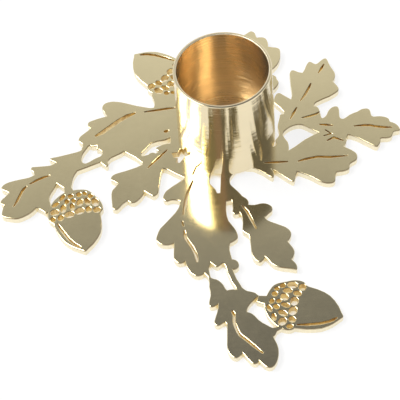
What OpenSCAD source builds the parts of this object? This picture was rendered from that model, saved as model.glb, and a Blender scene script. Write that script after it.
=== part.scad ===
// Candle holder: a round cup on a flat plate that is cut as oak leaves and acorns.
// Origin: on the cup's axis, at the plate's underside. +Z is up, and -Y is the front.

/* [Candle cup] */
// Inside diameter of the cup, for a 22 mm candle
cup_bore_d = 22.4; // [22.3:0.1:24]
// Thickness of the cup's wall
cup_wall = 0.8; // [0.5:0.1:1.2]
// Height of the rim above the plate's top
cup_h = 26; // [18:0.5:34]
// How much wider the cup's outside is at its foot than at its rim, on each side
foot_flare = 0.4; // [0.2:0.05:0.6]
// Thickness of the cup's floor
floor_t = 2.2; // [1.8:0.1:4]
// Depth of the groove inside the tube's foot that takes the floor's edge
floor_lip = 0.3; // [0.2:0.05:0.35]
// Chamfer on both edges of the rim
rim_chamfer = 0.2; // [0.1:0.05:0.3]

/* [Fixing rivet] */
// Diameter of the rivet's shank
rivet_d = 3; // [2.5:0.1:3.5]
// Diameter of its two flush heads
rivet_head_d = 5.4; // [4.8:0.1:6]
// Height of each head's cone
rivet_head_h = 1.2; // [0.9:0.1:1.4]

/* [Plate] */
// Thickness of the plate
plate_t = 2; // [1.8:0.1:3]
// Diameter of the plate's disc under the cup
hub_d = 21; // [19:0.5:22]
// Width of a fine vein slot
vein_w = 0.55; // [0.4:0.05:0.8]
// Width of the front leaf's vein slots
front_vein_w = 0.6; // [0.45:0.05:0.9]
// Width of the left leaf's vein slots
left_vein_w = 1.05; // [0.8:0.05:1.6]
// Width of the front twig
twig_w = 1.45; // [1.2:0.05:1.8]

/* [Front leaf] */
// Length from the cup to the tip
front_len = 32.2; // [29:0.1:36]
// Half of the width
front_half = 10; // [9:0.1:11]
// Place of the root round the cup, in degrees
front_seat_deg = -127; // [-130:1:-124]
// Direction, in degrees from +X
front_turn_deg = -96; // [-99:1:-93]

/* [Front right leaf] */
// Length from the cup to the tip
front_right_len = 33.2; // [30:0.1:37]
// Half of the width
front_right_half = 7.5; // [6.8:0.1:8.2]
// Place of the root round the cup, in degrees
front_right_seat_deg = -93.5; // [-95:0.5:-92]
// Direction, in degrees from +X
front_right_turn_deg = -65.5; // [-67:0.5:-63]

/* [Left leaf] */
// Length from the cup to the tip
left_len = 28.5; // [26:0.1:31]
// Half of the width
left_half = 10.5; // [9.5:0.1:11.5]
// Place of the root round the cup, in degrees
left_seat_deg = 145; // [142:1:148]
// Direction, in degrees from +X
left_turn_deg = -173; // [-176:1:-170]

/* [Left front leaf] */
// Length from the cup to the tip
left_front_len = 25; // [23:0.1:27]
// Half of the width
left_front_half = 8; // [7.2:0.1:8.8]
// Place of the root round the cup, in degrees
left_front_seat_deg = -166; // [-168:1:-164]
// Direction, in degrees from +X
left_front_turn_deg = -137.5; // [-140:0.5:-135]

/* [Right leaf] */
// Length from the cup to the tip
right_len = 23.6; // [21.5:0.1:26]
// Half of the width
right_half = 8; // [7.4:0.1:8.6]
// Place of the root round the cup, in degrees
right_seat_deg = -46; // [-48:1:-44]
// Direction, in degrees from +X
right_turn_deg = -4.5; // [-6:0.5:-3]

/* [Back right leaf] */
// Length from the cup to the tip
back_right_len = 29.3; // [27:0.1:32]
// Half of the width
back_right_half = 8; // [7.4:0.1:8.8]
// Place of the root round the cup, in degrees
back_right_seat_deg = -8; // [-10:1:-6]
// Direction, in degrees from +X
back_right_turn_deg = 56; // [54:1:58]

/* [Back leaf] */
// Length from the cup to the tip
back_len = 24; // [21:0.1:28]
// Half of the width
back_half = 9; // [8:0.1:10]
// Place of the root round the cup, in degrees
back_seat_deg = 72; // [68:1:76]
// Direction, in degrees from +X
back_turn_deg = 76; // [72:1:80]

/* [Outer right leaf] */
// Length from its root on the back right leaf to the tip
outer_right_len = 21.6; // [20:0.1:24]
// Half of the width
outer_right_half = 7; // [6.5:0.1:7.6]
// Direction, in degrees from +X
outer_right_turn_deg = -8.8; // [-10:0.1:-7]

/* [Near leaf] */
// Length from its root on the front twig to the tip
near_len = 24.3; // [22:0.1:27]
// Half of the width
near_half = 7.5; // [7:0.1:8.2]
// Direction, in degrees from +X
near_turn_deg = -73.5; // [-75:0.5:-72]

/* [Far left leaf] */
// Length from its root on the left leaf to the tip
far_left_len = 26.4; // [24:0.1:29]
// Half of the width
far_left_half = 7.5; // [7:0.1:8.2]
// Direction, in degrees from +X
far_left_turn_deg = -149.5; // [-151:0.5:-148]

/* [Acorns] */
// Length of an acorn from its stalk to the tip
acorn_len = 18.7; // [17.5:0.1:20]
// Half of the width of an acorn
acorn_half = 7.2; // [6.8:0.1:7.7]
// Width of the crescent on the nut at its middle
crescent_w = 0.6; // [0.45:0.05:0.9]
// Direction of the left acorn, in degrees from +X
left_acorn_turn_deg = -79.3; // [-81:0.1:-77]
// Direction of the near acorn, in degrees from +X
near_acorn_turn_deg = -20.4; // [-22:0.1:-19]
// Direction of the back acorn, in degrees from +X
back_acorn_turn_deg = 135; // [133:0.5:137]

/* [Hidden] */
$fn = 96;
// Largest bend between two straight steps of a curved edge, in degrees
step_deg = 12;
// How far a cut runs past the face that it opens
overrun = 1;
cup_r = cup_bore_d / 2 + cup_wall;
floor_r = cup_bore_d / 2 + floor_lip;
// Height of the face that the candle stands on
seat_z = plate_t + floor_t;

// A frame is [x, y, direction, length, half width]. A row of shares is [along, across] in a frame:
// along as a share of the length, across as a share of the half width, positive to the left.
// A row's third value, where it has one, is 0 and makes a sharp corner.
function at(f, q) = [
    f[0] + q[0] * f[3] * cos(f[2]) - q[1] * f[4] * sin(f[2]),
    f[1] + q[0] * f[3] * sin(f[2]) + q[1] * f[4] * cos(f[2])
];
function hub_frame(seat, turn, length, half) =
    [cup_r * cos(seat), cup_r * sin(seat), turn, length, half];
function frame_on(f, place_shares, turn, length, half) =
    [at(f, place_shares)[0], at(f, place_shares)[1], turn, length, half];

front = hub_frame(front_seat_deg, front_turn_deg, front_len, front_half);
front_right = hub_frame(front_right_seat_deg, front_right_turn_deg, front_right_len, front_right_half);
left = hub_frame(left_seat_deg, left_turn_deg, left_len, left_half);
left_front = hub_frame(left_front_seat_deg, left_front_turn_deg, left_front_len, left_front_half);
right = hub_frame(right_seat_deg, right_turn_deg, right_len, right_half);
back_right = hub_frame(back_right_seat_deg, back_right_turn_deg, back_right_len, back_right_half);
back = hub_frame(back_seat_deg, back_turn_deg, back_len, back_half);

// Where the outer leaves and the acorns grow from, on the leaf that carries them
outer_right_place_shares = [0.26, -0.97];
near_place_shares = [1.067, 0.825];
far_left_place_shares = [0.925, 0.783];
left_acorn_place_shares = [0.353, 0.536];
near_acorn_place_shares = [0.296, 0.703];
back_acorn_place_shares = [-0.084, -0.972];
outer_right =
    frame_on(back_right, outer_right_place_shares, outer_right_turn_deg, outer_right_len, outer_right_half);
near = frame_on(front, near_place_shares, near_turn_deg, near_len, near_half);
far_left = frame_on(left, far_left_place_shares, far_left_turn_deg, far_left_len, far_left_half);
left_acorn = frame_on(far_left, left_acorn_place_shares, left_acorn_turn_deg, acorn_len, acorn_half);
near_acorn = frame_on(near, near_acorn_place_shares, near_acorn_turn_deg, acorn_len, acorn_half);
back_acorn = frame_on(left, back_acorn_place_shares, back_acorn_turn_deg, acorn_len, acorn_half);

// Outlines of the leaves, each from the root along the right side to the tip and back
front_shares = [
    [-0.28, -0.30, 0], [0.10, -0.44, 0], [0.17, -0.72], [0.24, -0.92], [0.285, -0.935], [0.308, -0.88],
    [0.297, -0.70], [0.309, -0.52, 0], [0.37, -0.54], [0.465, -0.73], [0.566, -0.98], [0.627, -1.045],
    [0.665, -1.06], [0.70, -0.98], [0.715, -0.83], [0.70, -0.62, 0], [0.79, -0.62], [0.85, -0.59],
    [0.879, -0.49], [0.861, -0.33, 0], [0.91, -0.29], [0.965, -0.19], [0.993, -0.05], [0.99, 0.05],
    [0.972, 0.13, 0], [0.95, 0.20, 0], [0.93, 0.24, 0], [0.877, 0.28, 0], [0.90, 0.36], [0.915, 0.43],
    [0.90, 0.51], [0.88, 0.575, 0], [0.93, 0.70, 0], [0.87, 0.82, 0], [0.80, 0.76], [0.733, 0.73],
    [0.70, 0.75, 0], [0.68, 0.86], [0.655, 0.925], [0.61, 0.91], [0.57, 0.85], [0.50, 0.70],
    [0.40, 0.635], [0.315, 0.63, 0], [0.305, 0.66, 0], [0.31, 0.785, 0], [0.26, 0.72, 0], [0.24, 0.49, 0],
    [0.24, 0.40, 0], [0.20, 0.35], [0.15, 0.22], [0.10, 0.20], [0.05, 0.23], [-0.05, 0.26, 0],
    [-0.28, 0.25, 0]
];
front_right_shares = [
    [-0.11, 0, 0], [-0.015, -0.25, 0], [0.127, -0.634, 0], [0.14, -0.80, 0], [0.20, -0.80, 0],
    [0.213, -0.656, 0], [0.226, -0.45, 0], [0.26, -0.50], [0.30, -0.59], [0.33, -0.67], [0.345, -0.66],
    [0.357, -0.47, 0], [0.41, -0.51], [0.448, -0.593], [0.486, -0.70], [0.51, -0.75], [0.535, -0.72],
    [0.565, -0.66, 0], [0.62, -0.75], [0.696, -0.91], [0.735, -0.96], [0.763, -0.975], [0.795, -0.935],
    [0.811, -0.87], [0.806, -0.76], [0.79, -0.64, 0], [0.816, -0.614], [0.85, -0.606], [0.89, -0.545],
    [0.93, -0.40], [0.964, -0.21], [0.988, -0.09], [1, -0.02], [0.988, 0.034], [0.964, 0.07],
    [0.935, 0.064], [0.91, 0.04, 0], [0.883, 0.19], [0.859, 0.28], [0.83, 0.305], [0.792, 0.30],
    [0.758, 0.284, 0], [0.734, 0.466], [0.706, 0.56], [0.672, 0.56], [0.64, 0.51], [0.572, 0.30],
    [0.524, 0.16], [0.49, 0.135, 0], [0.476, 0.30], [0.462, 0.49], [0.437, 0.55], [0.41, 0.52],
    [0.385, 0.44], [0.366, 0.30], [0.354, 0.105], [0.328, -0.065, 0], [0.295, 0.01], [0.266, -0.01],
    [0.237, -0.065], [0.19, -0.085], [0.14, -0.13], [0.10, -0.16], [0.065, -0.11], [0.036, -0.01],
    [0.022, 0.11], [-0.05, 0.50, 0]
];
left_shares = [
    [-0.20, 0.30, 0], [0, 0.50, 0], [0.30, 0.90, 0], [0.42, 1.10, 0], [0.48, 1.07, 0], [0.50, 1],
    [0.529, 0.88], [0.562, 0.787], [0.60, 0.68], [0.62, 0.625, 0], [0.639, 0.657], [0.686, 0.696],
    [0.734, 0.735], [0.777, 0.826, 0], [0.86, 0.78, 0], [0.95, 0.60, 0], [0.985, 0.30, 0],
    [0.968, 0.24, 0], [0.968, 0.15, 0], [0.983, 0.10], [0.994, 0.047], [0.99, -0.018], [0.973, -0.083],
    [0.945, -0.135], [0.906, -0.20], [0.868, -0.265, 0], [0.885, -0.40], [0.878, -0.46], [0.849, -0.498],
    [0.80, -0.524], [0.744, -0.543], [0.70, -0.55, 0], [0.715, -0.70], [0.727, -0.81], [0.72, -0.888],
    [0.696, -0.958], [0.658, -0.984], [0.61, -0.973], [0.562, -0.927], [0.514, -0.86], [0.409, -0.69],
    [0.352, -0.615], [0.304, -0.55], [0.266, -0.537, 0], [0.15, -0.60, 0], [-0.05, -0.65, 0],
    [-0.20, 0, 0]
];
left_front_shares = [
    [-0.20, 0.30, 0], [-0.20, -0.30, 0], [0, -0.95, 0], [0.36, -0.70, 0], [0.408, -0.543, 0],
    [0.47, -0.61], [0.523, -0.69], [0.576, -0.774], [0.629, -0.872], [0.671, -0.938], [0.7075, -0.955],
    [0.739, -0.915], [0.75, -0.856], [0.744, -0.79], [0.734, -0.60, 0], [0.776, -0.577], [0.829, -0.56],
    [0.871, -0.478], [0.902, -0.379], [0.934, -0.264], [0.965, -0.15], [0.985, -0.067], [0.986, 0],
    [0.972, 0.065], [0.94, 0.08], [0.886, 0.065], [0.82, 0.09, 0], [0.813, 0.24], [0.79, 0.30],
    [0.744, 0.325], [0.671, 0.30], [0.63, 0.235, 0], [0.624, 0.434], [0.608, 0.59], [0.585, 0.61],
    [0.55, 0.59], [0.502, 0.476], [0.376, 0.18], [0.304, 0.06, 0], [0.287, 0.196], [0.271, 0.525],
    [0.25, 0.83, 0], [0.12, 1, 0], [-0.10, 0.60, 0]
];
right_shares = [
    [-0.30, 0, 0], [-0.168, -0.30], [-0.113, -0.313], [-0.059, -0.40], [-0.004, -0.495], [0.039, -0.61],
    [0.077, -0.70], [0.10, -0.72], [0.11, -0.66], [0.09, -0.414, 0], [0.126, -0.463], [0.18, -0.61],
    [0.235, -0.752], [0.289, -0.88], [0.312, -0.91], [0.327, -0.848], [0.338, -0.688], [0.357, -0.528, 0],
    [0.387, -0.56], [0.452, -0.656], [0.517, -0.768], [0.572, -0.896], [0.637, -0.992], [0.691, -1.015],
    [0.735, -0.983], [0.753, -0.912], [0.757, -0.784], [0.762, -0.68], [0.778, -0.59, 0], [0.833, -0.575],
    [0.887, -0.527], [0.909, -0.479], [0.914, -0.383], [0.92, -0.303], [0.952, -0.223], [0.985, -0.159],
    [1, -0.0785], [1.004, 0.018], [0.996, 0.098], [0.974, 0.178], [0.941, 0.258], [0.898, 0.338],
    [0.869, 0.39, 0], [0.892, 0.53], [0.903, 0.643, 0], [0.85, 0.85, 0], [0.55, 0.90, 0],
    [0.25, 0.85, 0], [0.18, 0.48, 0], [-0.02, 0.45, 0], [-0.30, 0.50, 0]
];
back_right_shares = [
    [-0.20, 0.30, 0], [-0.15, -0.20, 0], [0, -1.10, 0], [0.30, -1.35, 0], [0.366, -1.05, 0],
    [0.375, -0.99], [0.425, -0.85], [0.46, -0.70], [0.455, -0.58, 0], [0.497, -0.562], [0.528, -0.62],
    [0.57, -0.715], [0.612, -0.83], [0.664, -0.925], [0.716, -0.98], [0.732, -0.963], [0.758, -0.85],
    [0.7735, -0.734], [0.779, -0.665, 0], [0.81, -0.65], [0.852, -0.62], [0.883, -0.543],
    [0.904, -0.4475], [0.925, -0.333], [0.956, -0.20], [0.9875, -0.084], [0.996, -0.008], [0.982, 0.05],
    [0.946, 0.10], [0.904, 0.145, 0], [0.894, 0.20], [0.899, 0.336], [0.8935, 0.41], [0.873, 0.43],
    [0.831, 0.42], [0.789, 0.393], [0.753, 0.393, 0], [0.742, 0.527], [0.742, 0.70], [0.732, 0.756],
    [0.706, 0.764], [0.674, 0.72], [0.633, 0.62], [0.58, 0.51], [0.528, 0.374], [0.476, 0.26],
    [0.434, 0.214, 0], [0.447, 0.527], [0.45, 0.68], [0.434, 0.73], [0.403, 0.737], [0.361, 0.70],
    [0.33, 0.62], [0.309, 0.41], [0.288, 0.24], [0.273, 0.164], [0.252, 0.15, 0], [0.236, 0.229],
    [0.21, 0.20], [0.163, 0.15], [0.10, 0.06], [0.069, -0.046], [0.038, -0.115], [0.001, -0.13],
    [-0.03, -0.115], [-0.046, -0.14], [-0.064, -0.21], [-0.13, 0.05, 0]
];
back_shares = [
    [-0.20, 0.30, 0], [-0.20, -0.30, 0], [0, -0.50], [0.10, -0.75], [0.197, -1.01], [0.25, -1.08],
    [0.304, -1.10], [0.337, -1.035], [0.375, -0.99], [0.39, -0.91], [0.43, -0.75, 0], [0.49, -0.89],
    [0.536, -0.957], [0.5975, -1.006], [0.659, -1.02], [0.721, -1], [0.772, -0.957], [0.7875, -0.888],
    [0.79, -0.765], [0.793, -0.615, 0], [0.844, -0.587], [0.89, -0.533], [0.916, -0.464],
    [0.921, -0.341], [0.911, -0.232, 0], [0.936, -0.19], [0.972, -0.15], [0.993, -0.08],
    [0.996, -0.013], [0.982, 0.042], [0.957, 0.097], [0.93, 0.17, 0], [0.94, 0.33], [0.92, 0.46],
    [0.87, 0.53], [0.80, 0.56, 0], [0.79, 0.76], [0.76, 0.90], [0.70, 0.95], [0.60, 0.92],
    [0.50, 0.80], [0.42, 0.62, 0], [0.37, 0.76], [0.30, 0.82], [0.22, 0.76], [0.12, 0.58], [0, 0.42]
];
outer_right_shares = [
    [-0.30, 0.35, 0], [-0.10, -0.20, 0], [0, -0.60, 0], [0.25, -0.90, 0], [0.36, -0.65, 0],
    [0.382, -0.46], [0.393, -0.363, 0], [0.424, -0.379], [0.476, -0.444], [0.528, -0.524],
    [0.60, -0.67], [0.674, -0.80], [0.711, -0.862], [0.737, -0.862], [0.753, -0.782], [0.768, -0.685],
    [0.7735, -0.508, 0], [0.789, -0.476], [0.831, -0.476], [0.878, -0.444], [0.904, -0.379],
    [0.914, -0.267], [0.925, -0.186], [0.956, -0.138], [0.985, -0.12], [0.998, -0.09], [0.993, 0.007],
    [0.972, 0.12], [0.935, 0.216], [0.894, 0.265, 0], [0.878, 0.313], [0.873, 0.393], [0.852, 0.458],
    [0.81, 0.506], [0.747, 0.522], [0.695, 0.4965, 0], [0.669, 0.538], [0.656, 0.667], [0.643, 0.812],
    [0.617, 0.867], [0.58, 0.867], [0.5335, 0.812], [0.497, 0.715], [0.445, 0.635], [0.403, 0.554],
    [0.372, 0.458], [0.346, 0.39], [0.322, 0.365], [0.30, 0.40], [0.288, 0.506], [0.283, 0.70],
    [0.276, 0.86], [0.262, 0.93], [0.231, 0.94], [0.20, 0.90], [0.168, 0.796], [0.147, 0.667],
    [0.137, 0.56], [0.12, 0.46], [0.092, 0.377, 0]
];
near_shares = [
    [-0.32, -0.62, 0], [-0.225, -0.69, 0], [-0.17, -0.635], [-0.10, -0.68], [-0.06, -0.734], [0, -0.77],
    [0.039, -0.82], [0.0935, -0.928], [0.126, -0.97], [0.148, -0.975], [0.162, -0.92], [0.164, -0.82],
    [0.153, -0.70, 0], [0.191, -0.752], [0.235, -0.84], [0.278, -0.946], [0.316, -1.034], [0.349, -1.07],
    [0.376, -1.027], [0.3815, -0.928], [0.372, -0.82], [0.37, -0.734, 0], [0.409, -0.734],
    [0.452, -0.787], [0.5065, -0.858], [0.561, -0.928], [0.615, -1], [0.67, -1.04], [0.724, -1.027],
    [0.762, -0.963], [0.778, -0.875], [0.773, -0.787], [0.751, -0.646, 0], [0.80, -0.61],
    [0.854, -0.558], [0.893, -0.50], [0.905, -0.41], [0.887, -0.294, 0], [0.93, -0.24],
    [0.974, -0.171], [0.996, -0.065], [0.996, 0.023], [0.979, 0.129], [0.941, 0.252], [0.898, 0.34],
    [0.8435, 0.417], [0.778, 0.446], [0.724, 0.44], [0.695, 0.435, 0], [0.69, 0.50], [0.67, 0.57],
    [0.655, 0.62, 0], [0.645, 0.82, 0], [0.60, 0.82, 0], [0.604, 0.534], [0.561, 0.428],
    [0.517, 0.322], [0.474, 0.252], [0.42, 0.20], [0.376, 0.129], [0.349, 0.03, 0], [0.305, 0.10],
    [0.267, 0.27], [0.24, 0.428], [0.229, 0.516], [0.235, 0.60], [0.26, 0.69, 0], [0.30, 0.80, 0],
    [0.25, 0.78, 0], [0.213, 0.575], [0.18, 0.53], [0.155, 0.44], [0.13, 0.33], [0.104, 0.27],
    [0.05, 0.20], [0, 0.164], [-0.05, 0.12, 0], [-0.05, 0.02, 0], [0, 0.005], [0.055, 0.085, 0],
    [0.072, 0.05], [0.055, -0.083], [0.045, -0.26, 0], [0.017, -0.277], [-0.026, -0.287],
    [-0.07, -0.33], [-0.113, -0.417], [-0.146, -0.54], [-0.20, -0.53], [-0.26, -0.50, 0],
    [-0.33, -0.50, 0]
];
far_left_shares = [
    [-0.25, 0.15, 0], [-0.25, -0.50, 0], [-0.048, -0.70, 0], [0.005, -0.668], [0.052, -0.709],
    [0.111, -0.784], [0.228, -0.937], [0.269, -1], [0.296, -1], [0.287, -0.895], [0.269, -0.751, 0],
    [0.31, -0.743], [0.357, -0.813], [0.404, -0.916], [0.451, -1.02], [0.485, -1.075], [0.504, -1],
    [0.50, -0.87], [0.51, -0.751, 0], [0.569, -0.77], [0.627, -0.854], [0.698, -0.957], [0.756, -1.02],
    [0.815, -1.02], [0.8445, -0.957], [0.8445, -0.854], [0.825, -0.74], [0.815, -0.627, 0],
    [0.874, -0.565], [0.921, -0.52], [0.938, -0.44], [0.9265, -0.30, 0], [0.968, -0.152],
    [0.995, -0.03], [1.003, 0.05], [0.991, 0.138], [0.962, 0.26], [0.9265, 0.385], [0.897, 0.456],
    [0.85, 0.497], [0.792, 0.518], [0.74, 0.50], [0.695, 0.45, 0], [0.674, 0.613], [0.6625, 0.737],
    [0.657, 0.84, 0], [0.60, 0.85, 0], [0.56, 0.58, 0], [0.52, 0.30], [0.44, 0.138], [0.392, 0.007, 0],
    [0.378, 0.20], [0.36, 0.42], [0.372, 0.60, 0], [0.38, 0.80, 0], [0.31, 0.75, 0], [0.318, 0.585],
    [0.29, 0.38], [0.252, 0.22], [0.20, 0.07], [0.155, -0.01, 0], [0.052, 0.067], [-0.077, 0.158, 0],
    [-0.085, 0.32], [-0.10, 0.45], [-0.125, 0.40], [-0.135, 0.29, 0]
];

// The web that carries the back acorn, in the left leaf's frame
back_web_shares = [
    [0.20, -0.40, 0], [0.266, -0.537, 0], [0.2536, -0.6235], [0.252, -0.815], [0.2577, -0.922],
    [0.2317, -1.029, 0], [0.10, -1.15, 0], [-0.10, -0.95, 0], [-0.25, -0.10, 0], [0, 0, 0]
];
// The bud on the front twig, in the front leaf's frame
bud_shares = [
    [0.855, 0.70, 0], [0.925, 0.72, 0], [0.927, 0.93], [0.918, 0.95], [0.875, 0.945], [0.865, 0.92]
];
// The middle line of the front twig, in the front leaf's frame
twig_shares = [[0.80, 0.62], [0.90, 0.71], [0.963, 0.765], [1.031, 0.85], [1.09, 0.955], [1.15, 1.05]];

// Outline of an acorn: the stalk, the cap's left side, the nut and the cap's right side
acorn_shares = [
    [-0.10, -0.12, 0], [0, -0.14, 0], [0.05, -0.42], [0.09, -0.57], [0.15, -0.71], [0.20, -0.80],
    [0.27, -0.875], [0.34, -0.91], [0.40, -0.89], [0.44, -0.83], [0.455, -0.78, 0], [0.50, -0.77],
    [0.60, -0.73], [0.70, -0.66], [0.78, -0.58], [0.85, -0.45], [0.90, -0.33], [0.95, -0.17],
    [0.985, -0.05], [1, 0], [0.97, 0.15], [0.92, 0.35], [0.85, 0.54], [0.78, 0.68], [0.70, 0.77],
    [0.60, 0.83], [0.48, 0.86, 0], [0.45, 0.90], [0.42, 0.98], [0.38, 1.01], [0.31, 1],
    [0.25, 0.95], [0.20, 0.88], [0.10, 0.75], [0.05, 0.63], [0.02, 0.45], [0, 0.18, 0],
    [-0.10, 0.12, 0]
];
// The middle line of the crescent on the nut
crescent_shares = [[0.47, -0.65], [0.60, -0.56], [0.75, -0.42], [0.85, -0.28], [0.93, -0.08]];
// The pits in the cap: [along, across, length, width, tilt], the sizes as shares of the half width
pit_shares = [
    [0.28, 0.79, 0.34, 0.25, -8], [0.41, 0.78, 0.22, 0.29, 0], [0.24, 0.54, 0.30, 0.20, 20],
    [0.37, 0.51, 0.29, 0.20, 10], [0.162, 0.69, 0.21, 0.16, 30], [0.10, 0.53, 0.16, 0.15, 0],
    [0.095, 0.32, 0.18, 0.21, 0], [0.225, 0.28, 0.28, 0.25, 0], [0.36, 0.20, 0.29, 0.31, 0],
    [0.17, 0.09, 0.18, 0.15, 0], [0.085, 0.03, 0.15, 0.21, 0], [0.265, -0.01, 0.29, 0.18, 0],
    [0.16, -0.145, 0.21, 0.17, 0], [0.375, -0.17, 0.29, 0.31, 0], [0.08, -0.26, 0.29, 0.14, -55],
    [0.26, -0.33, 0.31, 0.22, -20], [0.395, -0.49, 0.23, 0.23, 0], [0.165, -0.545, 0.31, 0.14, -60],
    [0.285, -0.64, 0.28, 0.29, 0], [0.39, -0.76, 0.21, 0.18, 0]
];
pit_points = 9;
pit_wave_share = 0.1;

// Vein slots by their middle lines
front_vein_shares = [[[0.585, -0.38], [0.66, -0.33], [0.74, -0.17], [0.80, -0.08], [0.87, -0.04]]];
front_fine_vein_shares = [
    [[-0.03, -0.12], [0.06, -0.22]],
    [[0.12, -0.21], [0.24, -0.335], [0.34, -0.385], [0.44, -0.42]],
    [[0.50, -0.44], [0.545, -0.40]]
];
front_right_vein_shares = [[[0.309, -0.26], [0.38, -0.24], [0.45, -0.28], [0.545, -0.335]]];
left_vein_shares = [
    [[0.44, -0.475], [0.515, -0.43], [0.606, -0.325], [0.70, -0.18], [0.77, -0.07], [0.84, 0]]
];
left_fine_vein_shares = [[[0.065, -0.39], [0.14, -0.415], [0.24, -0.43], [0.36, -0.45]]];
left_front_vein_shares = [[[0.108, -0.34], [0.25, -0.325], [0.402, -0.315]]];
right_vein_shares = [
    [[0.012, -0.136], [0.14, -0.14], [0.262, -0.136]],
    [[0.371, -0.136], [0.452, -0.06], [0.583, 0.018], [0.713, -0.014], [0.903, 0.018]],
    [[0.66, 0.834], [0.743, 0.916, 0], [0.68, 1.077]],
    [[0.691, 0.641], [0.769, 0.759, 0], [0.87, 0.62]]
];
back_right_vein_shares = [
    [[0.231, -0.142], [0.30, -0.13], [0.372, -0.115]],
    [[0.455, -0.084], [0.528, -0.115], [0.622, -0.092], [0.674, -0.065]],
    [[0.81, -0.077], [0.87, -0.085], [0.925, -0.077]],
    [[0.288, -0.45], [0.335, -0.64], [0.382, -0.79], [0.424, -0.87]]
];
back_vein_shares = [
    [[0.15, -0.08], [0.25, -0.02], [0.36, 0]],
    [[0.45, 0], [0.60, 0.05], [0.75, 0], [0.88, -0.03]]
];
outer_right_vein_shares = [
    [[0.0535, 0.071], [0.13, 0.06], [0.215, 0.039]],
    [[0.46, 0.03], [0.58, 0.08], [0.65, 0.085], [0.716, 0.04], [0.82, 0.007], [0.909, 0.017]]
];
near_vein_shares = [
    [[0.278, -0.40], [0.343, -0.40], [0.387, -0.47], [0.474, -0.505], [0.561, -0.488], [0.626, -0.38],
    [0.724, -0.24], [0.827, -0.083]]
];
far_left_vein_shares = [
    [[0.395, -0.40], [0.45, -0.46], [0.52, -0.50], [0.605, -0.51]],
    [[0.64, -0.495], [0.70, -0.42], [0.745, -0.31], [0.80, -0.17], [0.862, -0.05]]
];

// Openings between leaves. The first is in the left front leaf's frame.
cup_side_gap_shares = [
    [-0.02, -0.086, 0], [0.058, 0.003, 0], [0.105, -0.132, 0], [0.131, 0.03, 0], [0.113, 0.134, 0],
    [0.16, 0.22, 0], [0.142, 0.306, 0], [0.035, 0.256, 0]
];
// In the left leaf's frame
left_gap_shares = [
    [0.184, 0.49, 0], [0.237, 0.527], [0.36, 0.54], [0.40, 0.63], [0.438, 0.72], [0.471, 0.82],
    [0.465, 0.88, 0], [0.41, 0.87, 0], [0.375, 0.83], [0.345, 0.875, 0], [0.305, 0.83, 0],
    [0.33, 0.72], [0.30, 0.68], [0.1985, 0.6615, 0]
];
left_bridge_gap_shares = [
    [0.907, 0.245], [0.888, 0.285, 0], [0.84, 0.29, 0], [0.85, 0.40, 0], [0.808, 0.54], [0.82, 0.61],
    [0.88, 0.67], [0.945, 0.745], [0.98, 0.755], [0.998, 0.70], [1, 0.62], [0.99, 0.50],
    [0.965, 0.40], [0.935, 0.31]
];
left_eye_shares = [0.206, 0.275];
// In the right leaf's frame
right_gap_shares = [
    [0.2243, 0.934], [0.2266, 1.01], [0.273, 1.183], [0.3132, 1.268], [0.4262, 1.332], [0.4842, 1.232],
    [0.5515, 1.0975], [0.6097, 0.9857, 0], [0.5688, 0.926], [0.4552, 0.724], [0.3475, 0.461],
    [0.279, 0.32, 0], [0.2746, 0.645]
];
// Length and width of the small eye beside the cup
eye_len = 1.3;
eye_w = 0.8;
// Width of a slot's end as a share of its full width
slot_end_share = 0.4;

// Curves through points, straight where both ends of a step are sharp
function unit(v) = v / norm(v);
function flip_about(c, v) = 2 * (c * v) * c - v;
function is_sharp(row) = len(row) > 2;
function heading(a, p, b) = unit(unit(p - a) * norm(b - p) + unit(b - p) * norm(p - a));
function between(p, q, from, to) =
    let (
        h = norm(q - p),
        n = max(1, ceil(acos(max(-1, min(1, from * to))) / step_deg))
    )
    [for (k = [0:n - 1]) let (t = k / n)
        p * (2 * pow(t, 3) - 3 * pow(t, 2) + 1) + from * h * (pow(t, 3) - 2 * pow(t, 2) + t)
        + q * (3 * pow(t, 2) - 2 * pow(t, 3)) + to * h * (pow(t, 3) - pow(t, 2))];
function stretch(p, q, sharp_p, sharp_q, from, to) =
    let (c = unit(q - p))
    between(p, q,
        !sharp_p ? from : sharp_q ? c : flip_about(c, to),
        !sharp_q ? to : sharp_p ? c : flip_about(c, from));
function loop_curve(f, rows) =
    let (
        n = len(rows),
        p = [for (row = rows) at(f, row)],
        d = [for (i = [0:n - 1]) heading(p[(i + n - 1) % n], p[i], p[(i + 1) % n])]
    )
    [for (i = [0:n - 1]) let (j = (i + 1) % n)
        each stretch(p[i], p[j], is_sharp(rows[i]), is_sharp(rows[j]), d[i], d[j])];
function line_curve(f, rows) =
    let (
        n = len(rows),
        p = [for (row = rows) at(f, row)],
        d = [for (i = [0:n - 1])
            i == 0 || i == n - 1 ? [1, 0] : heading(p[i - 1], p[i], p[i + 1])]
    )
    concat(
        [for (i = [0:n - 2])
            each stretch(p[i], p[i + 1], i == 0 || is_sharp(rows[i]), i == n - 2 || is_sharp(rows[i + 1]),
                d[i], d[i + 1])],
        [p[n - 1]]);

module blade(f, rows) polygon(loop_curve(f, rows));

// A band along a line, full in the middle and narrower at both ends
module band(f, rows, w, end_share) {
    p = line_curve(f, rows);
    n = len(p);
    side = [for (i = [0:n - 1])
        let (
            d = unit(p[min(n - 1, i + 1)] - p[max(0, i - 1)]),
            full = i == 0 || i == n - 1 ? end_share : 1
        )
        [-d[1], d[0]] * w / 2 * full];
    polygon(concat([for (i = [0:n - 1]) p[i] + side[i]], [for (i = [n - 1:-1:0]) p[i] - side[i]]));
}

module veins(f, lines, w) {
    for (rows = lines) band(f, rows, w, slot_end_share);
}

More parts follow.
